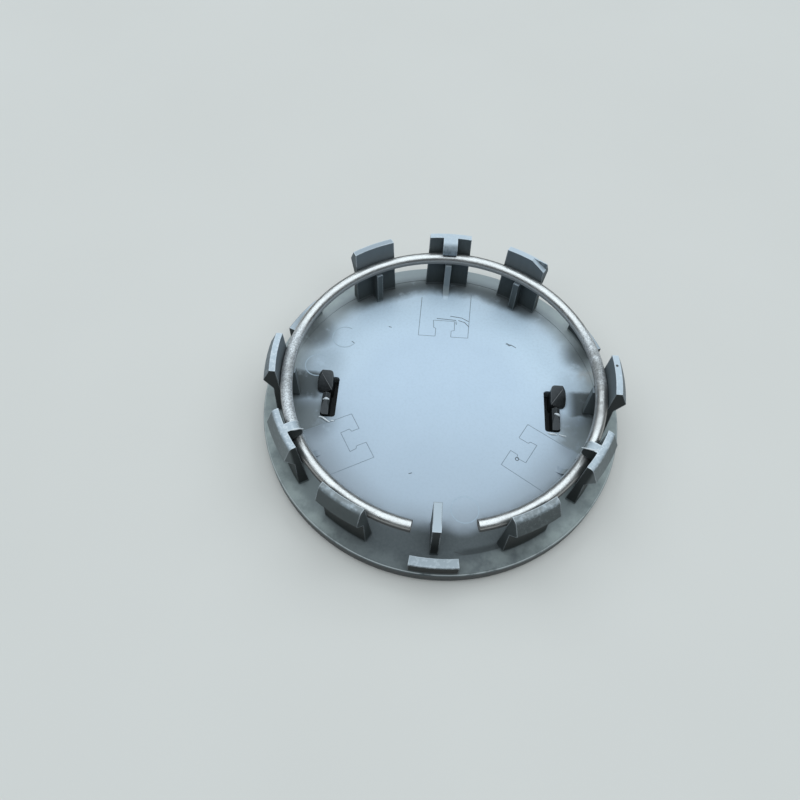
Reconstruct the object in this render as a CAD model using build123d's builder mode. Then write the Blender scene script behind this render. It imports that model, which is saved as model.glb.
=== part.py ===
"""Wheel centre cap seen from its back: moulded body with snap legs, sprung retaining ring, front insert.

Millimetres. The cap lies on its front face: Z = 0 is the front, +Z is the cap's axis, towards the wheel.
"""
import os
from math import acos, asin, cos, degrees, radians, sin, tan

from build123d import *

# Disc and flange
cap_diameter = 68.0
front_bevel_width = 1.4
front_bevel_height = 0.9
rim_wall_height = 2.6
rim_edge_round = 0.3
flange_width = 3.5
flange_rise = 0.13
floor_step = 0.08
plate_thickness = 2.05

# Snap legs, measured inward from the rim
leg_pitch = 30.0
barb_inset = 1.55
barb_depth = 1.45
barb_drop = 3.0
barb_back = 2.6
barb_undercut = 1.5
barb_round = 0.5
leg_tip_thickness = 1.1
leg_tip_width = 8.2
leg_root_width = 8.7
leg_root_flare = 0.4
leg_draft_angle = 2.0
root_embed = 0.5

# Outward lean of the three legs that the ring has bent most
lean_left_hook = 1.0
lean_near_left = 2.8
lean_near_right = 1.0

# Retaining ring and its seat
wire_diameter = 2.2
ring_side_clearance = 0.15
ring_seat_clearance = 0.05
ring_gap_left = 4.1
ring_gap_right = 6.6
ring_spread_left = 0.75
ring_spread_right = 0.3
ledge_height = 7.95
ledge_lip = 0.1

# Ribs, hook noses and the key that stops the ring turning
rib_width = 1.2
gusset_foot = 2.4
hook_width = 2.8
worn_hook_width = 1.6
hook_thickness = 3.0
hook_reach = 2.4
hook_clearance = 0.3
hook_nose_round = 1.6
hook_lip_round = 0.9
key_width = 1.5
key_inboard = 2.8
key_foot_gap = 0.1
key_overlap = 0.4

# Low lugs at the rim
lug_inset = 0.3
lug_thickness = 1.7
lug_height = 3.1
lug_width = 8.6
lug_edge = 0.15

# Chip out of one leg's tip
chip_depth = 1.6
chip_length = 4.0
chip_bite = 0.75

# Slots and the front insert that snaps into them
slot_reach = 20.0
slot_depth = 2.9
slot_length = 9.0
slot_shift = -0.45
slot_corner = 0.6
insert_rim = 6.5
insert_clearance = 0.15
insert_thickness = 1.4
insert_recess = 0.1
insert_edge = 0.3
finger_gap = 1.0
finger_play = 0.15
finger_split = 0.5
finger_overhang = 1.1
finger_seat = 0.1
tall_finger_width = 3.7
tall_finger_rise = 2.6
tall_finger_round = 0.8
low_finger_rise = 1.4
low_finger_slope = 0.7
low_finger_eave = 0.5
low_finger_setback = 0.3
finger_lead = 0.8

# Radii and heights that follow from the sizes above
cap_radius = cap_diameter / 2
rim_z = front_bevel_height + rim_wall_height
flange_inner_radius = cap_radius - flange_width
flange_inner_z = rim_z + flange_rise
floor_z = flange_inner_z - floor_step
foot_z = floor_z - root_embed
pocket_z = floor_z - plate_thickness
pocket_radius = cap_radius - insert_rim
insert_radius = pocket_radius - insert_clearance

ledge_z = floor_z + ledge_height
ring_z = ledge_z + ring_seat_clearance + wire_diameter / 2
hook_under_z = ring_z + wire_diameter / 2 + hook_clearance
leg_top_z = hook_under_z + hook_thickness
barb_z = leg_top_z - barb_drop
neck_z = barb_z - barb_back
barb_radius = cap_radius - barb_inset
leg_tip_outer = barb_radius - barb_depth
leg_tip_inner = leg_tip_outer - leg_tip_thickness
neck_radius = barb_radius - barb_undercut
root_outer = neck_radius + leg_root_flare


def leg_inner_radius(z):
    """Radius of the legs' inner face, which leans outward towards the tip."""
    return leg_tip_inner - (leg_top_z - z) * tan(radians(leg_draft_angle))


ring_radius = leg_inner_radius(ring_z) - ring_side_clearance - wire_diameter / 2
ledge_radius = ring_radius - wire_diameter / 2 - ledge_lip
key_inner_radius = ring_radius - wire_diameter / 2 - key_inboard
key_top_z = ring_z + key_overlap
hook_tip_radius = leg_tip_inner - hook_reach
lug_outer = cap_radius - lug_inset
lug_inner = lug_outer - lug_thickness
lug_top_z = rim_z + lug_height
lug_arc = 2 * degrees(asin(lug_width / 2 / lug_outer))


def ring_arm_arc(gap, spread):
    """Angle that one arm of the ring turns through, from the side of the cap to its end by the key."""
    return degrees(acos((gap + spread) / (ring_radius + spread)))


# Hook legs, plain legs and lugs take turns round the circle; the key stands behind one lug
hook_angles = [90 + 4 * leg_pitch * i for i in range(3)]
lug_angles = [angle + 2 * leg_pitch for angle in hook_angles]
plain_angles = [angle + side * leg_pitch for angle in hook_angles for side in (-1, 1)]
key_angle = 270
chipped_angle = 60
leg_leans = {210: lean_left_hook, 240: lean_near_left, 300: lean_near_right}


def outward_plane(angle, radius):
    """Plane across a leg: X along the rim, Y up, normal pointing away from the axis."""
    c, s = cos(radians(angle)), sin(radians(angle))
    return Plane(origin=(radius * c, radius * s, 0), x_dir=(-s, c, 0), z_dir=(c, s, 0))


def meridian_plane(angle):
    """Plane through the axis: X is the radius, Y is up."""
    c, s = cos(radians(angle)), sin(radians(angle))
    return Plane(origin=(0, 0, 0), x_dir=(c, s, 0), z_dir=(s, -c, 0))


def leg_half_width(z):
    """Half the width of a leg, which narrows from root to tip."""
    share = (z - floor_z) / (leg_top_z - floor_z)
    return (leg_root_width + share * (leg_tip_width - leg_root_width)) / 2


def leg_place(angle):
    """Where a leg stands: turned round the axis, and leaning about its root if the ring has bent it."""
    lean = Rot(0, leg_leans.get(angle, 0), 0)
    return Rot(0, 0, angle) * Pos(root_outer, 0, floor_z) * lean * Pos(-root_outer, 0, -floor_z)


# One leg: a turned section, cut to a tapered width
with BuildPart() as leg:
    with BuildSketch(Plane.XZ) as leg_section:
        with BuildLine():
            Polyline(
                (leg_inner_radius(foot_z), foot_z),
                (root_outer, foot_z),
                (neck_radius, neck_z),
                (barb_radius, barb_z),
                (leg_tip_outer, leg_top_z),
                (leg_tip_inner, leg_top_z),
                close=True,
            )
        make_face()
        fillet(leg_section.vertices().sort_by(Axis.X)[-1:], barb_round)
    revolve(axis=Axis.Z)
    window_low = foot_z - root_embed
    window_high = leg_top_z + root_embed
    with BuildSketch(outward_plane(0, hook_tip_radius)):
        with BuildLine():
            Polyline(
                (-leg_half_width(window_low), window_low),
                (leg_half_width(window_low), window_low),
                (leg_half_width(window_high), window_high),
                (-leg_half_width(window_high), window_high),
                close=True,
            )
        make_face()
    extrude(amount=cap_radius - hook_tip_radius, mode=Mode.INTERSECT)

# Body: the disc, the legs, then what stands on the floor
with BuildPart() as cap_body:
    with BuildSketch(Plane.XZ):
        with BuildLine():
            Polyline(
                (0, pocket_z),
                (pocket_radius, pocket_z),
                (pocket_radius, 0),
                (cap_radius - front_bevel_width, 0),
            )
            TangentArc(
                (cap_radius - front_bevel_width, 0),
                (cap_radius, front_bevel_height),
                tangent=(1, 0),
            )
            Polyline(
                (cap_radius, front_bevel_height),
                (cap_radius, rim_z - rim_edge_round),
                (cap_radius - rim_edge_round, rim_z),
                (flange_inner_radius, flange_inner_z),
                (flange_inner_radius, floor_z),
                (0, floor_z),
                (0, pocket_z),
            )
        make_face()
    revolve(axis=Axis.Z)
    with Locations(*[leg_place(angle) for angle in hook_angles + plain_angles]):
        add(leg.part)

    # Plain ribs hold the ring up
    for angle in plain_angles:
        with BuildSketch(meridian_plane(angle)):
            with BuildLine():
                Polyline(
                    (ledge_radius, foot_z),
                    (leg_inner_radius(foot_z) + root_embed, foot_z),
                    (leg_inner_radius(ledge_z) + root_embed, ledge_z),
                    (ledge_radius, ledge_z),
                    close=True,
                )
            make_face()
        extrude(amount=rib_width / 2, both=True)

    # Hook legs have a gusset with a hollow foot below the ring and a nose over it; two noses are worn narrow
    for angle, nose_width in zip(hook_angles, (hook_width, worn_hook_width, worn_hook_width)):
        with BuildSketch(meridian_plane(angle)):
            with BuildLine():
                Polyline(
                    (ledge_radius - gusset_foot, floor_z),
                    (ledge_radius - gusset_foot, foot_z),
                    (leg_inner_radius(foot_z) + root_embed, foot_z),
                    (leg_inner_radius(ledge_z) + root_embed, ledge_z),
                    (ledge_radius, ledge_z),
                    (ledge_radius, floor_z + gusset_foot),
                )
                TangentArc(
                    (ledge_radius, floor_z + gusset_foot),
                    (ledge_radius - gusset_foot, floor_z),
                    tangent=(0, -1),
                )
            make_face()
        extrude(amount=rib_width / 2, both=True)
        with BuildSketch(meridian_plane(angle)) as nose_section:
            with BuildLine():
                Polyline(
                    (hook_tip_radius, hook_under_z),
                    (leg_inner_radius(hook_under_z) + leg_tip_thickness / 2, hook_under_z),
                    (leg_tip_inner + leg_tip_thickness / 2, leg_top_z),
                    (hook_tip_radius, leg_top_z),
                    close=True,
                )
            make_face()
            fillet(nose_section.vertices().sort_by(Axis.X)[:2].sort_by(Axis.Y)[-1], hook_nose_round)
            fillet(nose_section.vertices().sort_by(Axis.X)[:2].sort_by(Axis.Y)[0], hook_lip_round)
        extrude(amount=nose_width / 2, both=True)

    # Key between the ring's ends
    with BuildSketch(meridian_plane(key_angle)):
        with BuildLine():
            Polyline(
                (key_inner_radius, foot_z),
                (flange_inner_radius - key_foot_gap, foot_z),
                (leg_inner_radius(key_top_z), key_top_z),
                (key_inner_radius, key_top_z),
                close=True,
            )
        make_face()
    extrude(amount=key_width / 2, both=True)

    # Lugs at the rim
    for angle in lug_angles:
        with BuildSketch(meridian_plane(angle - lug_arc / 2)):
            with BuildLine():
                Polyline(
                    (lug_inner, foot_z),
                    (lug_outer, foot_z),
                    (lug_outer, lug_top_z - lug_edge),
                    (lug_outer - lug_edge, lug_top_z),
                    (lug_inner, lug_top_z),
                    close=True,
                )
            make_face()
        revolve(axis=Axis.Z, revolution_arc=lug_arc)

    # Slots for the insert's fingers
    with BuildSketch(Plane.XY.offset(pocket_z)):
        with Locations((slot_reach + slot_depth / 2, slot_shift), (-slot_reach - slot_depth / 2, slot_shift)):
            RectangleRounded(slot_depth, slot_length, slot_corner)
    extrude(amount=plate_thickness, mode=Mode.SUBTRACT)

    # Chip out of one tip, deepest at the leg's clockwise corner
    with BuildSketch(outward_plane(chipped_angle, hook_tip_radius)):
        with BuildLine():
            Polyline(
                (-leg_half_width(leg_top_z) - root_embed, leg_top_z - chip_depth),
                (chip_length - leg_half_width(leg_top_z), leg_top_z + root_embed),
                (-leg_half_width(leg_top_z) - root_embed, leg_top_z + root_embed),
                close=True,
            )
        make_face()
    extrude(amount=leg_tip_inner + chip_bite - hook_tip_radius, mode=Mode.SUBTRACT)

# Open ring of round wire: a half circle, then two arms of wider sweep that end either side of the key
with BuildPart() as retaining_ring:
    right_arc = ring_arm_arc(ring_gap_right, ring_spread_right)
    left_arc = ring_arm_arc(ring_gap_left, ring_spread_left)
    with BuildLine(Plane.XY.offset(ring_z)) as wire_line:
        right_arm = CenterArc((-ring_spread_right, 0), ring_radius + ring_spread_right, -right_arc, right_arc)
        CenterArc((0, 0), ring_radius, 0, 180)
        CenterArc((ring_spread_left, 0), ring_radius + ring_spread_left, 180, left_arc)
    with BuildSketch(Plane(origin=right_arm @ 0, z_dir=right_arm % 0)):
        Circle(wire_diameter / 2)
    sweep(path=wire_line.wires()[0])

# Fingers of the insert, on the +X side
finger_inner = slot_reach + finger_gap
finger_outer = slot_reach + slot_depth - finger_play
finger_barb = slot_reach + slot_depth + finger_overhang
finger_far = slot_shift + slot_length / 2 - finger_play
finger_near = slot_shift - slot_length / 2 + finger_play
tall_finger_near = finger_far - tall_finger_width
low_finger_far = tall_finger_near - finger_split
finger_seat_z = floor_z + finger_seat
shank_corner_zone = (finger_outer - finger_play, finger_outer + finger_play)


def plane_through(a, b, c):
    """Plane through three points, facing up."""
    normal = (b - a).cross(c - a)
    return Plane(origin=a, z_dir=normal if normal.Z > 0 else -normal)


# The tall finger's top slopes down from a flat far end, with a facet off its outer near corner
with BuildPart() as tall_finger:
    tall_top_z = floor_z + tall_finger_rise
    tall_mid_z = floor_z + tall_finger_rise / 2
    with BuildSketch(Plane.XZ.offset(-finger_far)):
        with BuildLine():
            Polyline(
                (finger_inner, pocket_z),
                (finger_outer, pocket_z),
                (finger_outer, finger_seat_z),
                (finger_barb, finger_seat_z),
                (finger_barb, tall_mid_z),
                (finger_barb - finger_lead, tall_top_z),
                (finger_inner, tall_top_z),
                close=True,
            )
        make_face()
    extrude(amount=tall_finger_width)
    shank_edges = tall_finger.edges().filter_by(Axis.Z).filter_by_position(Axis.X, *shank_corner_zone)
    fillet(shank_edges.sort_by(Axis.Y)[-1:], slot_corner)
    with BuildSketch(Plane.XY.offset(pocket_z)):
        with Locations(((finger_inner + finger_barb) / 2, (finger_far + tall_finger_near) / 2)):
            RectangleRounded(finger_barb - finger_inner, tall_finger_width, tall_finger_round)
    extrude(amount=tall_top_z - pocket_z, mode=Mode.INTERSECT)
    ridge_inner = Vector(finger_inner, finger_far - tall_finger_round, tall_top_z)
    ridge_start = Vector(finger_barb - finger_lead, finger_far - tall_finger_round, tall_top_z)
    ridge_end = Vector(finger_inner, tall_finger_near, tall_mid_z)
    ridge_foot = Vector(finger_barb, tall_finger_near, finger_seat_z)
    split(bisect_by=plane_through(ridge_inner, ridge_start, ridge_end), keep=Keep.BOTTOM)
    split(bisect_by=plane_through(ridge_start, ridge_end, ridge_foot), keep=Keep.BOTTOM)

# The low finger is a plain post with a roof-like top that falls towards its near end
with BuildPart() as low_finger:
    low_top_z = floor_z + low_finger_rise
    low_inner = finger_inner + low_finger_setback
    with BuildSketch(Plane.XZ.offset(-low_finger_far)):
        with BuildLine():
            Polyline(
                (low_inner, pocket_z),
                (finger_outer, pocket_z),
                (finger_outer, low_top_z - low_finger_eave),
                ((low_inner + finger_outer) / 2, low_top_z),
                (low_inner, low_top_z - low_finger_eave),
                close=True,
            )
        make_face()
    extrude(amount=low_finger_far - finger_near)
    shank_edges = low_finger.edges().filter_by(Axis.Z).filter_by_position(Axis.X, *shank_corner_zone)
    fillet(shank_edges.sort_by(Axis.Y)[:1], slot_corner)
    slope_far = Vector(low_inner, low_finger_far - finger_lead, low_top_z)
    slope_side = Vector(finger_outer, low_finger_far - finger_lead, low_top_z)
    slope_near = Vector(low_inner, finger_near, low_top_z - low_finger_slope)
    split(bisect_by=plane_through(slope_far, slope_side, slope_near), keep=Keep.BOTTOM)

# Insert: plain disc in the front pocket, with its fingers on both sides
with BuildPart() as front_insert:
    with BuildSketch(Plane.XY.offset(pocket_z)):
        Circle(insert_radius)
    extrude(amount=-insert_thickness)
    chamfer(front_insert.faces().sort_by(Axis.Z)[0].edges(), insert_edge)
    add(tall_finger.part)
    add(low_finger.part)
    mirror(about=Plane.YZ)

os.makedirs("parts", exist_ok=True)
for name, piece in (
    ("cap_body", cap_body),
    ("retaining_ring", retaining_ring),
    ("front_insert", front_insert),
):
    piece.part.label = name
    export_step(piece.part, f"parts/{name}.step")
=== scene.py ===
"""Looks of a wheel centre cap that lies on its front: grey moulding, spring wire and black clip fingers."""

from math import cos, radians, sin

import bmesh
import bpy
from mathutils import Matrix, Vector


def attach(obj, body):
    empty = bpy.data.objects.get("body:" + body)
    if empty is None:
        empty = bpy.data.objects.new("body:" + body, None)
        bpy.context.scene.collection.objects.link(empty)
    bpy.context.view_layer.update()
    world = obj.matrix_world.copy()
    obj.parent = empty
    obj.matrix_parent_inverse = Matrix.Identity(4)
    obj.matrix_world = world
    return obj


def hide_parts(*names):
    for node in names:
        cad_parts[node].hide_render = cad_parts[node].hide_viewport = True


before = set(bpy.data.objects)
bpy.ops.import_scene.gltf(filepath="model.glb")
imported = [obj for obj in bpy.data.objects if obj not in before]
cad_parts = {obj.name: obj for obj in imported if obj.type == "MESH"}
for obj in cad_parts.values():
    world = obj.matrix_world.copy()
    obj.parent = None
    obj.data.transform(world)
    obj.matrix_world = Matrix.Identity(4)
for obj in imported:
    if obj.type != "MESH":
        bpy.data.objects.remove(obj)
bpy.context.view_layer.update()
MM = 0.001

# Heights on the moulding and the wire's own place, in millimetres
floor_height = 3.55
leg_height = 17.05
lug_height = 6.6
wire_height = 12.65
wire_sweep = 28.5

# Rounding of moulded edges, in millimetres
plastic_edge = 0.16
plastic_root = 0.22
wire_edge = 0.15
finger_edge = 0.14
rubbed_edge = 0.5

# Cleaning of the solids' meshes: millimetres, then degrees
weld_reach = 0.002
flat_turn = 0.2
corner_turn = 25.0

# Fine marks: how far their feet sink into the floor, in millimetres, and points along an arc
ridge_sink = 0.02
arc_points = 25

# Tips, noses and lug that carry marks of wear, in millimetres
near_left_tip = (-15.4, -26.7, leg_height)
near_right_tip = (15.2, -26.4, leg_height)
far_left_tip = (-15.2, 26.4, leg_height)
far_right_tip = (15.2, 26.4, leg_height)
left_hook_tip = (-26.0, -15.0, leg_height)
right_hook_tip = (26.0, -15.0, leg_height)
left_nose = (-24.6, -14.2, leg_height)
right_nose = (24.6, -14.2, leg_height)
near_lug_top = (0, -33.0, lug_height)

# Patches of dirt on the floor: place, reach and falloff in millimetres, then strength
dirt_patches = [
    ((-24.6, -5.2, 0), 2.2, 4.6, 0.58),
    ((26.8, -3.6, 0), 1.8, 3.6, 0.45),
    ((25.4, -7.2, 0), 1.2, 3.6, 0.35),
    ((-24.4, 7.2, 0), 2.0, 5.0, 0.28),
    ((26.6, 6.0, 0), 1.4, 4.2, 0.2),
    ((-26.0, 14.2, 0), 1.4, 4.4, 0.78),
    ((27.4, 12.6, 0), 0.6, 4.6, 0.85),
]

# Studio: gap under the front face in millimetres, other lengths in metres, power in watts
ground_gap = 0.02
ground_half = 1.2
sky_place = (0.0, 0.12, 1.1)
sky_width = 2.4
sky_depth = 2.0
sky_power = 31.0
sky_colour = (0.82, 0.93, 1.0)
surround_colour = (0.62, 0.68, 0.72, 1)
surround_strength = 0.10

# Viewpoint: angles in degrees, depth and height in metres, sensor in millimetres, the rest in pixels
view_elevation = 59.469
view_roll = 1.692
view_turn = 2.596
focal_length = 680.543
picture_width = 800
rim_centre_u = 440.516
rim_centre_v = 401.957
rim_centre_depth = 0.131696
rim_height = 0.0035
sensor_width = 36.0


class Amount:
    """A value that varies over a surface; arithmetic on it adds Math nodes."""

    def __init__(self, finish, socket):
        self.finish = finish
        self.socket = socket

    def __add__(self, other):
        return self.finish.math("ADD", self, other)

    def __radd__(self, other):
        return self.finish.math("ADD", other, self)

    def __sub__(self, other):
        return self.finish.math("SUBTRACT", self, other)

    def __rsub__(self, other):
        return self.finish.math("SUBTRACT", other, self)

    def __mul__(self, other):
        return self.finish.math("MULTIPLY", self, other)

    def __rmul__(self, other):
        return self.finish.math("MULTIPLY", other, self)

    def __truediv__(self, other):
        return self.finish.math("DIVIDE", self, other)

    def __rtruediv__(self, other):
        return self.finish.math("DIVIDE", other, self)

    def __pow__(self, other):
        return self.finish.math("POWER", self, other)


class Finish:
    """A material under construction."""

    def __init__(self, name):
        self.material = bpy.data.materials.new(name)
        self.material.use_nodes = True
        self.tree = self.material.node_tree
        self.tree.nodes.clear()

    def node(self, kind, settings, sockets, output=0):
        """Adds one node: settings, then its sockets' values or links; a tuple asks for several outputs."""
        made = self.tree.nodes.new("ShaderNode" + kind)
        for key, value in settings.items():
            setattr(made, key, value)
        for key, value in sockets.items():
            if isinstance(value, Amount):
                self.tree.links.new(value.socket, made.inputs[key])
            else:
                made.inputs[key].default_value = value
        if isinstance(output, tuple):
            return [Amount(self, made.outputs[key]) for key in output]
        return Amount(self, made.outputs[output]) if made.outputs else None

    def math(self, operation, first, second):
        """One step of arithmetic."""
        return self.node("Math", {"operation": operation}, {0: first, 1: second})

    def most(self, first, *others):
        """Largest of several values."""
        for other in others:
            first = self.math("MAXIMUM", first, other)
        return first

    def ramp(self, value, start, end):
        """Smooth step from 0 at start to 1 at end."""
        return self.node("MapRange", {"interpolation_type": "SMOOTHSTEP"}, {0: value, 1: start, 2: end})

    def tint(self, share, under, over):
        """Colour over laid on colour under."""
        return self.node("Mix", {"data_type": "RGBA"}, {0: share, 6: under, 7: over}, 2)

    def millimetres(self):
        """Place on the part in millimetres."""
        here = self.node("TexCoord", {}, {}, "Object")
        return self.node("VectorMath", {"operation": "SCALE"}, {0: here, "Scale": 1 / MM})

    def parts(self, vector):
        """X, Y and Z of a vector."""
        return self.node("SeparateXYZ", {}, {0: vector}, (0, 1, 2))

    def stretched(self, place, scales):
        """Place with its X, Y and Z scaled."""
        return self.node("VectorMath", {"operation": "MULTIPLY"}, {0: place, 1: scales})

    def grain(self, place, size, detail=2.0, roughness=0.5):
        """Cloudy pattern whose patches are about size millimetres across."""
        return self.node(
            "TexNoise", {}, {"Vector": place, "Scale": 1 / size, "Detail": detail, "Roughness": roughness}
        )

    def near(self, place, centre, reach, falloff):
        """1 within reach of a point, fading to 0 over the falloff."""
        away = self.node("VectorMath", {"operation": "DISTANCE"}, {0: place, 1: centre}, "Value")
        return self.ramp(away, reach + falloff, reach)

    def edges(self, normal, radius, start, end):
        """1 along edges sharper than the radius in millimetres."""
        rounded = self.node("Bevel", {"samples": 8}, {"Radius": radius * MM})
        match = self.node("VectorMath", {"operation": "DOT_PRODUCT"}, {0: rounded, 1: normal}, "Value")
        return self.ramp(1 - match, start, end)

    def relief(self, height, depth):
        """Normal of a surface with a relief of that depth in millimetres."""
        return self.node("Bump", {}, {"Height": height, "Distance": depth * MM, "Strength": 1.0}, "Normal")

    def surface(self, **sockets):
        """Ends the material in one Principled shader; underscores in names stand for spaces."""
        named = {key.replace("_", " "): value for key, value in sockets.items()}
        shader = self.node("BsdfPrincipled", {}, named)
        self.node("OutputMaterial", {}, {"Surface": shader})
        return self.material


class Moulding(Finish):
    """The grey moulding's finish, with the places, patterns and masks that its layers share."""

    def __init__(self, name):
        super().__init__(name)
        self.place = self.millimetres()
        self.flat_place = self.stretched(self.place, (1, 1, 0))
        self.x, self.y, self.z = self.parts(self.place)
        self.radius = (self.x * self.x + self.y * self.y) ** 0.5
        self.normal = self.node("NewGeometry", {}, {}, "Normal")
        along, self.up = self.parts(self.normal)[1:]

        # Patterns, from coarse to fine
        self.cloud = self.grain(self.place, 11.0, 3.0)
        self.patch = self.grain(self.place, 3.0, 4.0, 0.6)
        self.streak = self.grain(self.stretched(self.place, (1.0, 1.0, 0.25)), 0.8, 3.0, 0.6)
        self.fleck = self.grain(self.place, 0.5, 3.0, 0.6)

        # Masks for what stands on the floor, the back side, the floor, and level and upright faces
        self.raised = self.ramp(self.z, floor_height + 0.15, floor_height + 0.6)
        self.back = self.ramp(self.z, 2.9, 3.25)
        self.low = self.ramp(self.z, floor_height + 0.7, floor_height + 0.3) * self.back
        self.level = self.most(self.ramp(self.up, 0.5, 0.97), 1 - self.raised)
        self.upright = 1 - self.level

        # Faces turned to the near side, a radius with ragged bounds, and how open a corner is
        self.facing = self.ramp(along, -0.3, -0.8) * self.ramp(self.y, 14.0, 4.0)
        self.drift = self.radius + (self.cloud - 0.5) * 3.0 + (self.patch - 0.5) * 1.5
        self.shade = self.node("AmbientOcclusion", {"samples": 8}, {"Distance": 1.4 * MM}, "AO")
        self.colour = self.light_and_shade_base()

    def light_and_shade_base(self):
        """Level faces painted pale and bluish as light and sky sheen, upright faces painted darker as shade.
        """
        x, y, z = self.x, self.y, self.z
        # Painted light and sky sheen: level faces pale and bluish, mottled at random.
        pale = self.tint(self.patch * 0.4 + self.cloud * 0.6, (0.41, 0.50, 0.595, 1), (0.47, 0.56, 0.655, 1))
        # Painted light: the far floor paler, making up for the far legs' shade.
        outer = self.ramp(self.radius, 14.0, 23.5) * self.ramp(y, -5.0, 8.0)
        pale = self.tint(outer, pale, (0.545, 0.65, 0.745, 1))
        pale = self.tint(self.ramp(self.fleck, 0.42, 0.68) * 0.12, pale, (0.28, 0.34, 0.39, 1))
        # Painted shade: upright faces darker, darker still toward their feet.
        shaded_upright = self.tint(self.streak, (0.073, 0.087, 0.090, 1), (0.135, 0.154, 0.158, 1))
        shaded_upright = self.tint(self.ramp(z, 12.5, 5.0) * 0.6, shaded_upright, (0.032, 0.037, 0.034, 1))
        # Painted light: slopes paler toward the flanks, where side light falls.
        side_lit_slope = self.tint(self.ramp(x * x, 360.0, 600.0), (0.080, 0.091, 0.091, 1), (0.185, 0.203, 0.203, 1))
        side_lit_slope = self.tint(self.patch * 0.5, side_lit_slope, (0.19, 0.207, 0.20, 1))
        shaded_upright = self.tint(self.ramp(self.up, 0.12, 0.5), shaded_upright, side_lit_slope)
        # Painted shade on faces turned to the near side.
        near_face_shade = self.facing * self.ramp(self.up, 0.35, 0.1)
        shaded_upright = self.tint(near_face_shade * 0.7, shaded_upright, (0.020, 0.022, 0.020, 1))
        # Painted light: the legs' upper faces pale and bluish, paler toward the far side.
        sky_lit_tops = self.tint(self.patch, (0.33, 0.38, 0.415, 1), (0.42, 0.475, 0.52, 1))
        sky_lit_tops = self.tint(self.ramp(y, -8.0, 4.0) * 0.8, sky_lit_tops, (0.46, 0.525, 0.58, 1))
        return self.tint(self.level, shaded_upright, self.tint(self.raised, pale, sky_lit_tops))

    def lay(self, share, over):
        """Lays a colour on what is there so far."""
        self.colour = self.tint(share, self.colour, over)


def flange_film_light_and_shade(f):
    """Film on the flange, darker at the near middle as painted shade and paler toward the flanks and far side
    as painted light, fading into the floor, over a faint floor film that is partly painted shade; returns
    where the flange film lies.
    """
    x, y = f.x, f.y
    # A faint floor film with painted shade, darker toward the rim, the near side and the left.
    floor_film_and_shade = f.ramp(f.drift + f.ramp(y, 12.0, -14.0) * 5.0, 24.5, 31.0) * 0.3 + f.ramp(y, 6.0, -22.0) * 0.43
    floor_film_and_shade = floor_film_and_shade + f.ramp(x, -8.0, -22.0) * 0.14
    f.lay(f.low * floor_film_and_shade, (0.22, 0.25, 0.285, 1))
    # Flange film: its dark near middle is painted shade, its paler flanks and far side are painted light.
    film = f.tint(f.ramp(x * x, 60.0, 600.0), (0.042, 0.048, 0.048, 1), (0.165, 0.187, 0.182, 1))
    film = f.tint(f.ramp(y, -10.0, 20.0), film, (0.29, 0.315, 0.32, 1))
    film = f.tint(f.fleck * 0.3, film, (0.22, 0.24, 0.23, 1))
    clear = f.ramp(x, 6.0, 22.0) * f.ramp(y, 0.0, 10.0)
    clear = clear + f.near(f.flat_place, (5.2, -25.2, 0), 0.8, 3.4) * 1.6
    near_side = f.ramp(y, -6.0, -27.0)
    flange = f.low * f.ramp(f.drift + near_side * 3.05 - clear * 0.8, 26.0, 30.2)
    f.lay(flange * 0.9, film)
    # Painted light: the outer flange paler, most toward the flanks.
    lit_crest = f.low * f.ramp(f.drift, 30.5, 33.0) * f.ramp(f.patch, 0.22, 0.66)
    sideways = f.ramp(x * x, 120.0, 450.0) * 0.5 + f.ramp(x, 2.0, 9.0) * f.ramp(x, 20.0, 12.0) * 0.2
    f.lay(lit_crest * (0.15 + sideways), (0.375, 0.415, 0.395, 1))
    return flange


def front_rim_shade_and_highlight(f):
    """Clean front side, rim wall painted dark as shade and a painted highlight along the rim's edge."""
    f.lay(1 - f.back, f.tint(f.cloud, (0.26, 0.287, 0.30, 1), (0.31, 0.34, 0.355, 1)))
    # Painted shade on the rim wall.
    wall = f.ramp(f.radius, 33.2, 33.7) * f.ramp(f.z, 3.3, 2.9) * f.ramp(f.z, 0.4, 1.0)
    f.lay(wall * 0.85, (0.03, 0.032, 0.03, 1))
    # Painted highlight along the rim's edge.
    line = f.ramp(f.radius, 33.7, 33.8) * f.ramp(f.z, 3.28, 3.36) * f.low * f.ramp(f.patch, 0.3, 0.5)
    f.lay(line * 0.9, (0.55, 0.58, 0.575, 1))


def near_step_band(f):
    """Darker band along the flange's step at the near side."""
    step = f.ramp(f.radius, 29.1, 29.9) * f.ramp(f.radius, 30.7, 30.4) * f.ramp(f.y, -24.0, -26.0) * f.low
    step = step * f.ramp(f.x, 3.0, 6.0) * f.ramp(f.x, 15.0, 11.0)
    f.lay(step * 0.6, (0.022, 0.026, 0.026, 1))


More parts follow.
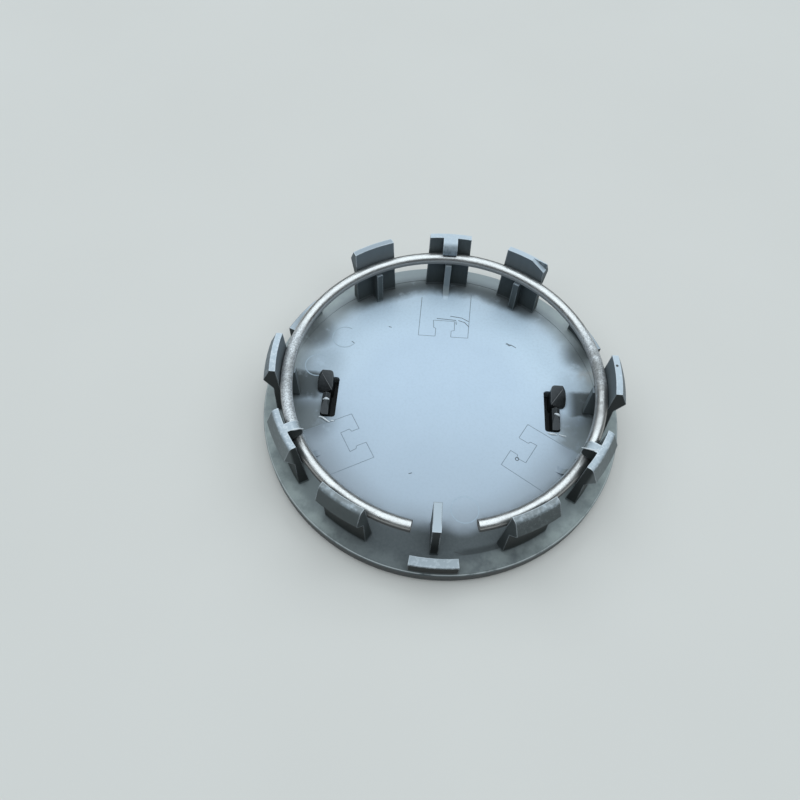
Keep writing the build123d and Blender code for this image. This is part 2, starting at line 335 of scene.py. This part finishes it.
def slot_dirt(f):
    """Dirt beside the lifters' outlines, and smears from slots to legs; returns where the smears are."""
    x, y = f.x, f.y
    inside = f.low * f.ramp(f.radius, 31.2, 29.8)
    slant_x = x * sin(radians(30))
    slant_y = y * cos(radians(30))
    beside = f.most(
        f.ramp(slant_y - slant_x, 5.1, 5.5) * f.ramp(x, -20.5, -24.0),
        f.ramp(slant_y + slant_x, 4.9, 5.3) * f.ramp(x, 20.5, 24.0),
    )
    beside = beside * inside * f.ramp(y, 0.0, -4.5) * f.ramp(f.patch, 0.15, 0.5)
    f.lay(beside * 0.7, (0.18, 0.205, 0.205, 1))
    ragged = y + (f.patch - 0.5) * 1.6
    smear = f.most(
        f.ramp(x, -21.6, -24.6) * f.ramp(ragged, 5.8, 4.4) * f.ramp(ragged, -2.6, -0.2) * inside,
        f.ramp(x, 23.4, 26.4) * f.ramp(ragged, 4.9, 3.7) * f.ramp(ragged, -1.9, -0.9) * inside,
        f.ramp(f.drift, 25.6, 28.4) * f.ramp(f.radius, 32.2, 29.0) * f.ramp(y, 19.0, 24.0) * f.low * 0.85,
    )
    for centre, reach, falloff, strength in dirt_patches:
        smear = f.most(smear, f.near(f.flat_place, centre, reach, falloff) * strength)
    smear = smear * f.ramp(f.patch, 0.1, 0.45) * f.ramp(f.z, 13.0, 10.5) * f.back
    f.lay(smear * 0.9, (0.050, 0.056, 0.054, 1))
    return smear


def corner_dirt_and_shade(f):
    """Corner dirt and painted shade where ambient occlusion finds corners closed, and a dull top on the near
    lug; returns where the corners are darkened.
    """
    # Painted shade in corners, read from ambient occlusion, also serving as dirt.
    dirt_and_shade = f.ramp(f.shade, 0.8, 0.3) * f.ramp(f.patch, 0.2, 0.6)
    f.lay(dirt_and_shade * (0.55 - f.low * 0.25), (0.035, 0.04, 0.038, 1))
    f.lay(f.ramp(f.y, -30.0, -32.0) * f.raised * f.level * 0.3, (0.085, 0.095, 0.09, 1))
    return dirt_and_shade


def leg_tones(f):
    """Painted light on the side legs' ribs, upper faces and near barb ends, painted shade on the near lug's
    front and a far foot, and a stain; returns the side legs' ribs.
    """
    x, y, z = f.x, f.y, f.z
    # Painted light: the side legs' ribs paler, against their shade.
    rib = f.ramp(y * y, 1.6, 0.9) * f.ramp(x * x, 640.0, 690.0) * f.ramp(z, 13.0, 11.5) * f.raised
    rib = rib * f.ramp(f.radius, 29.7, 29.4)
    f.lay(rib * f.upright * 0.8, (0.17, 0.19, 0.195, 1))
    # Painted light on the side legs' upper faces.
    lit_sides = f.ramp(x * x, 830.0, 860.0) * f.ramp(y * y, 26.0, 20.0) * f.ramp(z, 10.0, 15.0)
    f.lay(lit_sides * f.upright * (1 - f.facing) * 0.6, (0.19, 0.22, 0.24, 1))
    # Painted light on the near barb ends.
    lit_barb_ends = f.facing * f.ramp(x * x, 380.0, 460.0) * f.ramp(y, -9.0, -11.0)
    lit_barb_ends = lit_barb_ends * f.ramp(f.radius, 30.9, 31.6) * f.ramp(z, 10.0, 11.5)
    f.lay(lit_barb_ends * f.upright * 0.75, (0.32, 0.345, 0.345, 1))
    # Painted shade on the near lug's front.
    shaded_lug_front = f.facing * f.ramp(y, -32.8, -33.4) * f.raised * f.upright
    f.lay(shaded_lug_front * 0.5, (0.012, 0.013, 0.012, 1))
    # Painted shade on the far left leg's foot.
    shaded_left_foot = f.near(f.place, (-14.6, 25.4, 7.5), 3.6, 2.0) * f.upright * f.raised
    f.lay(shaded_left_foot * 0.35, (0.11, 0.123, 0.123, 1))
    stain = f.near(f.flat_place, (28.6, 8.2, 0), 0.5, 1.8) * f.low * f.ramp(f.patch, 0.35, 0.6)
    f.lay(stain * 0.45, (0.30, 0.26, 0.22, 1))
    return rib


def tip_marks(f):
    """Dull film on the two nearest tips, paler upper faces on the far legs, a pale chip, and painted light on
    the far nose and gusset.
    """
    place, z = f.place, f.z
    tips = f.most(f.near(place, near_left_tip, 4.6, 1.0), f.near(place, near_right_tip, 4.6, 1.0))
    tips = tips * f.ramp(z, 15.4, 16.6)
    f.lay(tips * f.ramp(f.streak + f.patch, 0.6, 1.1) * 0.85, (0.12, 0.133, 0.133, 1))
    far_left = f.near(place, far_left_tip, 4.8, 1.6)
    f.lay(far_left * f.ramp(z, 12.0, 14.0) * f.upright * 0.7, (0.24, 0.275, 0.30, 1))
    f.lay(far_left * f.level * 0.65, (0.23, 0.265, 0.30, 1))
    far_right = f.near(place, far_right_tip, 4.8, 1.6)
    f.lay(far_right * f.ramp(z, 12.0, 14.0) * f.upright * 0.55, (0.21, 0.245, 0.27, 1))
    barb = f.ramp(f.radius, 30.1, 30.4) * f.ramp(f.radius, 31.0, 30.7)
    chip = f.near(place, (17.7, 25.3, 16.4), 1.9, 0.8) * barb * f.upright
    f.lay(chip * f.ramp(f.streak, 0.35, 0.6), (0.44, 0.50, 0.54, 1))
    # Painted light on the far nose's upright face and on the gusset below.
    nose = f.near(place, (0, 27.6, 15.6), 1.9, 0.7) * f.ramp(z, 13.9, 14.4) * f.upright
    f.lay(nose * f.ramp(f.streak, 0.3, 0.55) * 0.8, (0.36, 0.41, 0.45, 1))
    gusset = f.ramp(f.x * f.x, 0.9, 0.5) * f.ramp(f.y, 20.0, 22.0) * f.ramp(z, 13.0, 12.0)
    f.lay(gusset * f.ramp(f.radius, 29.0, 28.6) * f.raised * 0.8, (0.30, 0.335, 0.35, 1))


def scuffs(f):
    """Pale scuffs on tips and lugs that have been rubbed; returns where they are."""
    place = f.place
    mostly_level = 0.25 + f.level * 0.75
    rubbed = f.most(
        f.near(place, (-30.4, 0, leg_height), 4.0, 1.2),
        f.near(place, (30.4, -2.6, leg_height), 2.4, 1.2) * 0.8,
        f.near(place, left_hook_tip, 4.6, 1.0) * mostly_level,
        f.near(place, right_hook_tip, 4.6, 1.0) * mostly_level,
        f.near(place, near_right_tip, 3.8, 0.8) * 0.28,
        f.near(place, near_lug_top, 4.4, 0.8) * f.ramp(f.z, 5.6, 6.2) * 0.4,
        f.near(place, (0, 30.0, leg_height), 3.8, 1.2) * f.level * 0.6,
    )
    scuff = rubbed * f.ramp(f.up, 0.2, 0.7) * f.ramp(f.grain(place, 0.7, 5.0, 0.75), 0.48, 0.62)
    f.lay(scuff * 0.75, (0.60, 0.64, 0.67, 1))
    return scuff


def worn_and_lit_edges(f, rib):
    """Worn corners with painted edge highlights, palest where they were chafed, dark outlines on the key and
    a pit in the right tip painted dark as shade.
    """
    place = f.place
    chafed = f.most(
        f.near(place, left_nose, 2.4, 0.8),
        f.near(place, right_nose, 2.4, 0.8),
        f.near(place, far_left_tip, 4.8, 1.6),
        f.near(place, (0, -32.8, lug_height), 5.0, 0.8),
    )
    # Wear and painted highlights along open edges.
    wear_and_highlight = f.edges(f.normal, 0.34, 0.01, 0.07) * f.ramp(f.shade, 0.5, 0.8) * f.ramp(f.patch, 0.25, 0.55)
    wear_and_highlight = wear_and_highlight * f.raised * (1 - rib) * (0.35 + f.ramp(f.z, 4.5, 13.0) * 0.65)
    f.lay(wear_and_highlight * (0.45 + chafed * 0.45), (0.62, 0.665, 0.695, 1))
    key = f.ramp(f.x * f.x, 4.0, 3.0) * f.ramp(f.y, -29.0, -28.0) * f.ramp(f.y, -19.0, -20.0) * f.raised
    f.lay(key * f.edges(f.normal, 0.3, 0.01, 0.1) * 0.7, (0.06, 0.07, 0.075, 1))
    # Painted shade of a small pit.
    pit = f.near(place, (30.3, 1.9, leg_height), 0.2, 0.1)
    f.lay(pit, (0.01, 0.01, 0.01, 1))


def grey_plastic():
    """Satin grey moulding: level faces painted pale as light, upright ones painted darker as shade, a dull
    flange, dirt and painted shade in corners, scuffs, and wear with painted edge highlights.
    """
    f = Moulding("grey_plastic")
    flange = flange_film_light_and_shade(f)
    front_rim_shade_and_highlight(f)
    near_step_band(f)
    smear = slot_dirt(f)
    dirt_and_shade = corner_dirt_and_shade(f)
    rib = leg_tones(f)
    tip_marks(f)
    scuff = scuffs(f)
    worn_and_lit_edges(f, rib)
    return f.surface(
        Base_Color=f.colour,
        Roughness=0.58 - f.level * 0.14 + flange * 0.16 + dirt_and_shade * 0.1 + scuff * 0.2 + (f.fleck - 0.5) * 0.1,
        Specular_IOR_Level=0.2,
        Coat_Weight=f.ramp(f.up, 0.85, 0.97) * (1 - flange) * (1 - smear) * 0.9,
        Coat_Roughness=0.35,
        Normal=f.relief(f.fleck * 0.1 + f.grain(f.place, 5.0, 1.0) * 0.9, 0.05),
    )


def spring_wire():
    """Bare drawn wire with a soft sheen, finely speckled, its underside painted dark as shade, dirty where it
    passes the smears.
    """
    f = Finish("spring_wire")
    place = f.millimetres()
    mottle = f.grain(place, 2.0, 4.0, 0.6)
    speck = f.grain(place, 0.22, 3.0, 0.7)
    colour = f.tint(f.ramp(speck, 0.35, 0.7), (0.60, 0.59, 0.575, 1), (0.47, 0.46, 0.445, 1))
    x, y = f.parts(place)[:2]
    across, along, up = f.parts(f.node("NewGeometry", {}, {}, "Normal"))
    outward = f.ramp((across * x + along * y) / wire_sweep, -0.1, 0.4)
    # Painted shade: the wire's underside dark, darkest on its outer side, and made less metallic there.
    under = f.ramp(up, 0.45 + outward * 0.13, outward * 0.38)
    dusty = f.most(
        f.ramp(x, -21.0, -26.0) * f.ramp(y, -15.0, -11.0) * f.ramp(y, 11.0, 5.0),
        f.ramp(x, 21.0, 26.0) * f.ramp(y, -2.0, 1.5) * f.ramp(y, 15.0, 8.0),
    )
    dusty = dusty * (1 - under)
    grit = f.ramp(f.grain(place, 0.32, 3.0, 0.65), 0.42, 0.6)
    colour = f.tint(dusty, colour, f.tint(grit, (0.70, 0.71, 0.715, 1), (0.40, 0.405, 0.41, 1)))
    shaded_belly = f.tint(speck, (0.30, 0.295, 0.285, 1), (0.17, 0.167, 0.162, 1))
    colour = f.tint(under * 0.9, colour, f.tint(outward, shaded_belly, (0.05, 0.05, 0.05, 1)))
    dirt = f.most(
        f.near(place, (wire_sweep, 1.0, wire_height), 4.0, 8.0),
        f.near(place, (23.0, -16.8, wire_height), 0.5, 4.0) * 0.3,
        f.near(place, (-wire_sweep, -2.0, wire_height), 1.0, 7.0) * 0.5,
    )
    dirt = dirt * f.ramp(mottle, 0.3, 0.6)
    colour = f.tint(dirt * 0.6, colour, (0.20, 0.19, 0.175, 1))
    return f.surface(
        Base_Color=colour,
        Roughness=0.34 + f.ramp(mottle, 0.35, 0.7) * 0.1 + dirt * 0.15 + dusty * 0.2 + under * 0.35,
        Metallic=1 - dusty * 0.35 - under * 0.9,
        Normal=f.relief(speck, 0.016),
    )


def black_plastic():
    """Black clip plastic, its upward facets painted lighter as light, and its edges rubbed grey with painted
    highlights.
    """
    f = Finish("black_plastic")
    place = f.millimetres()
    z = f.parts(place)[2]
    rub = f.grain(place, 0.5, 4.0, 0.65)
    shown = f.ramp(z, floor_height, floor_height + 0.9)
    normal = f.node("NewGeometry", {}, {}, "Normal")
    # Painted light on facets that face upward.
    lit_facet = f.ramp(f.parts(normal)[2], 0.75, 0.9)
    colour = f.tint(shown * f.ramp(rub, 0.3, 0.7), (0.007, 0.008, 0.008, 1), (0.020, 0.022, 0.023, 1))
    colour = f.tint(shown * lit_facet * (0.5 + rub * 0.5), colour, (0.060, 0.064, 0.068, 1))
    # Rubbed edges, partly painted highlights.
    colour = f.tint(shown * f.edges(normal, 0.12, 0.01, 0.08) * 0.35, colour, (0.32, 0.33, 0.33, 1))
    return f.surface(
        Base_Color=colour,
        Roughness=0.4 + rub * 0.2,
        Specular_IOR_Level=0.22,
        Normal=f.relief(rub, 0.012),
    )


def plain(name, colour, roughness, grain_size):
    """One colour, broken up by a fine grain."""
    f = Finish(name)
    fleck = f.grain(f.millimetres(), grain_size, 3.0, 0.6)
    darker = tuple(part * 0.7 for part in colour)
    shade = f.tint(fleck, (*darker, 1), (*colour, 1))
    return f.surface(Base_Color=shade, Roughness=roughness, Normal=f.relief(fleck, 0.01))


def ground():
    """Pale matt sheet; it sends back less light than it shows."""
    f = Finish("pale_ground")
    place = f.millimetres()
    tone = f.tint(f.grain(place, 60.0, 3.0), (0.60, 0.57, 0.53, 1), (0.64, 0.61, 0.57, 1))
    seen = f.node("LightPath", {}, {}, ("Is Camera Ray", "Is Glossy Ray", "Is Transmission Ray"))
    colour = f.tint(f.most(*seen), (0.16, 0.155, 0.145, 1), tone)
    return f.surface(Base_Color=colour, Roughness=0.9)


def near_tips(form):
    """Outer top edges of the four nearest legs."""
    found = []
    for side in form.edges:
        middle = (side.verts[0].co + side.verts[1].co) / 2 / MM
        if len(side.link_faces) == 2 and middle.z > leg_height - 1.0 and middle.y < -8.0:
            outward = Vector((middle.x, middle.y, 0)).normalized()
            rises = sorted(face.normal.z for face in side.link_faces)
            leans = max(face.normal.dot(outward) for face in side.link_faces)
            if rises[1] > 0.9 and leans > 0.3 and rises[0] < 0.9:
                found.append(side)
    return found


def softened(node, name, edge, root, material, rubbed=None):
    """Copy of a CAD node whose outer edges and inner corners are rounded; it stands for the node."""
    form = bmesh.new()
    form.from_mesh(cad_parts[node].data)
    bmesh.ops.remove_doubles(form, verts=form.verts, dist=weld_reach * MM)
    bmesh.ops.dissolve_limit(form, angle_limit=radians(flat_turn), verts=form.verts, edges=form.edges)
    weight = form.edges.layers.float.new("bevel_weight_edge")
    if rubbed:
        bmesh.ops.bevel(
            form, geom=rubbed(form), offset=rubbed_edge * MM, segments=4, profile=0.5, affect="EDGES"
        )
    for side in form.edges:
        turn = side.calc_face_angle_signed(0)
        if abs(turn) > radians(corner_turn):
            side[weight] = 1 if turn > 0 else root / edge
    for face in form.faces:
        face.smooth = True
    mesh = bpy.data.meshes.new(name)
    form.to_mesh(mesh)
    form.free()
    piece = bpy.data.objects.new(name, mesh)
    bpy.context.scene.collection.objects.link(piece)
    rounding = piece.modifiers.new("rounding", "BEVEL")
    rounding.limit_method = "WEIGHT"
    rounding.width = edge * MM
    rounding.segments = 3
    shading = piece.modifiers.new("shading", "WEIGHTED_NORMAL")
    shading.weight = 100
    mesh.materials.clear()
    mesh.materials.append(material)
    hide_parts(node)
    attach(piece, "root")
    return piece


def held(name, data, material):
    """Extra piece that stays with the part."""
    data.materials.append(material)
    piece = bpy.data.objects.new(name, data)
    bpy.context.scene.collection.objects.link(piece)
    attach(piece, "root")
    return piece


def ridges(name, lines, width, height, material):
    """Thin raised lines on the floor, like those that a mould's joints leave; points in millimetres."""
    form = bmesh.new()
    for line in lines:
        points = [Vector(point) for point in line]
        rows = []
        for place, point in enumerate(points):
            ahead = points[min(place + 1, len(points) - 1)] - points[max(place - 1, 0)]
            aside = Vector((-ahead.y, ahead.x)).normalized() * width / 2
            profile = ((point + aside, -ridge_sink), (point, height), (point - aside, -ridge_sink))
            rows.append([
                form.verts.new(Vector((spot.x, spot.y, floor_height + rise)) * MM)
                for spot, rise in profile
            ])
        for first, second in zip(rows, rows[1:]):
            for side in (0, 1):
                form.faces.new((first[side], first[side + 1], second[side + 1], second[side]))
    mesh = bpy.data.meshes.new(name)
    form.to_mesh(mesh)
    form.free()
    return held(name, mesh, material)


def strands(name, lines, thickness, material):
    """Ragged round strands through points in millimetres, thin at both ends."""
    curve = bpy.data.curves.new(name, "CURVE")
    curve.dimensions = "3D"
    curve.bevel_depth = thickness / 2 * MM
    curve.bevel_resolution = 2
    curve.resolution_u = 4
    for line in lines:
        spline = curve.splines.new("NURBS")
        spline.points.add(len(line) - 1)
        for place, (point, spot) in enumerate(zip(line, spline.points)):
            spot.co = (*(Vector(point) * MM), 1)
            spot.radius = 0.45 if place in (0, len(line) - 1) else 1.0 - 0.25 * (place % 2)
        spline.order_u = 3
        spline.use_endpoint_u = True
    return held(name, curve, material)


def circle(centre, radius, start=0, end=360):
    """Points along an arc; angles in degrees."""
    turns = [radians(start + (end - start) * step / (arc_points - 1)) for step in range(arc_points)]
    return [(centre[0] + radius * cos(turn), centre[1] + radius * sin(turn)) for turn in turns]


def lifter_outline(angle, end, notch):
    """Lines where one of the mould's lifters met the floor by a hook leg: two prongs with a notch between."""
    outline = [
        (-5.5, 27.4), (-4.95, end), (-1.45, end), (-1.5, end + 1.5), (-2.15, end + 1.7), (-2.1, notch),
        (2.25, notch), (2.15, end + 2.2), (1.7, end + 2.0), (1.75, end), (5.2, end), (4.95, 25.5),
    ]
    out = Vector((cos(radians(angle)), sin(radians(angle))))
    across = Vector((-out.y, out.x))
    points = [across * aside + out * reach for aside, reach in outline]
    return list(zip(points, points[1:]))


# Fine marks: angle, inner end and notch of the lifters' outlines, then points in millimetres
lifters = [(90, 15.55, 19.6), (210, 16.6, 20.1), (330, 16.35, 19.9)]
far_scratches = [
    [(1.2, 20.9), (3.6, 20.6), (5.05, 19.8)],
    [(2.9, 19.9), (4.2, 19.5), (5.15, 18.4)],
    [(-1.6, 20.1), (2.4, 19.9), (2.5, 18.8)],
]
ejector_rings = [
    circle((-20.1, 13.8), 2.5, 60, 330),
    circle((-24.7, 6.6), 2.5, 60, 300),
    circle((5.2, -21.8), 2.5),
]
floor_nicks = [
    [(-11.4, 17.2), (-10.8, 17.0)],
    [(-18.6, 12.9), (-18.1, 12.5)],
    [(12.9, 14.9), (13.4, 14.6), (13.9, 14.5), (14.8, 13.9)],
    [(12.7, 14.75), (13.3, 14.6), (13.8, 14.4)],
    [(13.1, 14.4), (13.6, 14.3)],
    [(-5.2, -15.6), (-4.6, -15.4)],
    circle((14.6, -11.1), 0.32),
]
crack = [[(3.6, -29.6), (5.6, -30.0), (8.8, -29.6), (12.2, -29.1)]]
slot_burrs = [
    [
        (-23.0, -5.15, 3.6), (-22.4, -5.2, 3.72), (-21.9, -5.5, 3.66), (-21.3, -5.95, 3.72),
        (-20.8, -6.15, 3.6),
    ],
    [(-20.6, -5.85, 3.6), (-20.3, -5.75, 3.66), (-20.0, -5.9, 3.6)],
    [(20.5, -5.2, 3.6), (21.1, -5.5, 3.7), (21.5, -5.35, 3.64), (22.2, -5.5, 3.6)],
    [(22.6, -5.4, 3.6), (23.3, -5.75, 3.68), (23.9, -5.7, 3.6)],
]
nose_burrs = [
    [
        (23.2, -14.4, 16.2), (23.9, -14.8, 16.75), (24.6, -15.1, 17.0), (25.4, -15.25, 17.0),
        (25.7, -14.9, 17.05),
    ],
    [(-23.3, -14.5, 16.1), (-23.9, -14.85, 16.75), (-24.5, -15.2, 16.95), (-25.2, -15.4, 17.0)],
]
# Rubbed ridges on the tall fingers, partly painted highlights.
rubbed_and_lit_ridges = [
    [(side * 23.2, 3.1, 6.17), (side * 22.1, 1.65, 5.52), (side * 21.1, 0.3, 4.9)]
    for side in (-1, 1)
]
# Painted highlights on the low fingers' heads, drawn as pale strands.
painted_finger_glints = [
    [(-22.5, -1.8, 4.5), (-22.2, -1.75, 4.72), (-21.8, -1.7, 4.82), (-21.4, -1.75, 4.55)],
    [(21.7, -1.6, 4.7), (22.1, -1.7, 4.82), (22.5, -1.8, 4.6), (22.7, -1.95, 4.45)],
]


def camera():
    """Camera at the photograph's viewpoint."""
    lens = bpy.data.cameras.new("viewpoint")
    lens.sensor_width = sensor_width
    lens.lens = sensor_width * focal_length / picture_width
    lens.clip_start = 0.005
    eye = bpy.data.objects.new("viewpoint", lens)
    bpy.context.scene.collection.objects.link(eye)
    aim = (
        Matrix.Rotation(radians(view_turn), 4, "Z")
        @ Matrix.Rotation(radians(90 - view_elevation), 4, "X")
        @ Matrix.Rotation(radians(view_roll), 4, "Z")
    )
    middle = picture_width / 2
    rim_centre = Vector((
        (rim_centre_u - middle) / focal_length * rim_centre_depth,
        (middle - rim_centre_v) / focal_length * rim_centre_depth,
        -rim_centre_depth,
    ))
    eye.matrix_world = Matrix.Translation(Vector((0, 0, rim_height)) - aim @ rim_centre) @ aim
    bpy.context.scene.camera = eye


def soft_light(name, place, width, height, power, colour):
    """Rectangular soft light that faces the cap."""
    lamp = bpy.data.lights.new(name, "AREA")
    lamp.shape = "RECTANGLE"
    lamp.size = width
    lamp.size_y = height
    lamp.energy = power
    lamp.color = colour
    holder = bpy.data.objects.new(name, lamp)
    bpy.context.scene.collection.objects.link(holder)
    holder.location = place
    holder.rotation_euler = Vector(place).to_track_quat("Z", "Y").to_euler()


def studio():
    """Pale ground, a large soft light above the cap and dim light from everywhere else."""
    sheet = bpy.data.meshes.new("ground")
    turns = ((-1, -1), (1, -1), (1, 1), (-1, 1))
    corners = [(across * ground_half, along * ground_half) for across, along in turns]
    sheet.from_pydata([(*corner, -ground_gap * MM) for corner in corners], [], [(0, 1, 2, 3)])
    sheet.materials.append(ground())
    base = bpy.data.objects.new("ground", sheet)
    bpy.context.scene.collection.objects.link(base)
    soft_light("overcast_sky", sky_place, sky_width, sky_depth, sky_power, sky_colour)
    world = bpy.data.worlds.new("surround")
    world.use_nodes = True
    background = world.node_tree.nodes["Background"]
    background.inputs["Color"].default_value = surround_colour
    background.inputs["Strength"].default_value = surround_strength
    bpy.context.scene.world = world
    bpy.context.scene.view_settings.view_transform = "Standard"


# Dressed solids
cap_shell = softened("cap_body", "cap_shell", plastic_edge, plastic_root, grey_plastic(), near_tips)
wire_ring = softened("retaining_ring", "wire_ring", wire_edge, wire_edge, spring_wire())
clip_insert = softened("front_insert", "clip_insert", finger_edge, finger_edge, black_plastic())

# Fine marks, too small for the solids
outlines = [line for angle, end, notch in lifters for line in lifter_outline(angle, end, notch)]
scratches = far_scratches + floor_nicks
# Pale plastic for torn burrs, also for painted highlights.
white_tear_and_glint = plain("torn_plastic_and_glint", (0.74, 0.77, 0.79), roughness=0.6, grain_size=0.3)
mould_line = plain("mould_line", (0.24, 0.285, 0.325), roughness=0.6, grain_size=0.6)
ring_line = plain("ring_line", (0.40, 0.485, 0.56), roughness=0.55, grain_size=0.6)
nick_line = plain("nick", (0.08, 0.095, 0.105), roughness=0.6, grain_size=0.4)
crack_line = plain("crack", (0.05, 0.055, 0.055), roughness=0.7, grain_size=0.4)
# Grey for the fingers' ridges, partly a painted highlight.
rubbed_ridge_highlight = plain("rubbed_ridge_highlight", (0.22, 0.22, 0.22), roughness=0.5, grain_size=0.3)
ridges("lifter_outlines", outlines, width=0.22, height=0.03, material=mould_line)
ridges("ejector_rings", ejector_rings, width=0.5, height=0.015, material=ring_line)
ridges("floor_scratches", scratches, width=0.26, height=0.03, material=nick_line)
ridges("flange_crack", crack, width=0.25, height=0.02, material=crack_line)
strands("slot_burrs", slot_burrs, thickness=0.45, material=white_tear_and_glint)
strands("nose_burrs", nose_burrs, thickness=0.34, material=white_tear_and_glint)
strands("painted_finger_glints", painted_finger_glints, thickness=0.6, material=white_tear_and_glint)
strands("rubbed_and_lit_ridges", rubbed_and_lit_ridges, thickness=0.16, material=rubbed_ridge_highlight)

# Camera and light
camera()
studio()
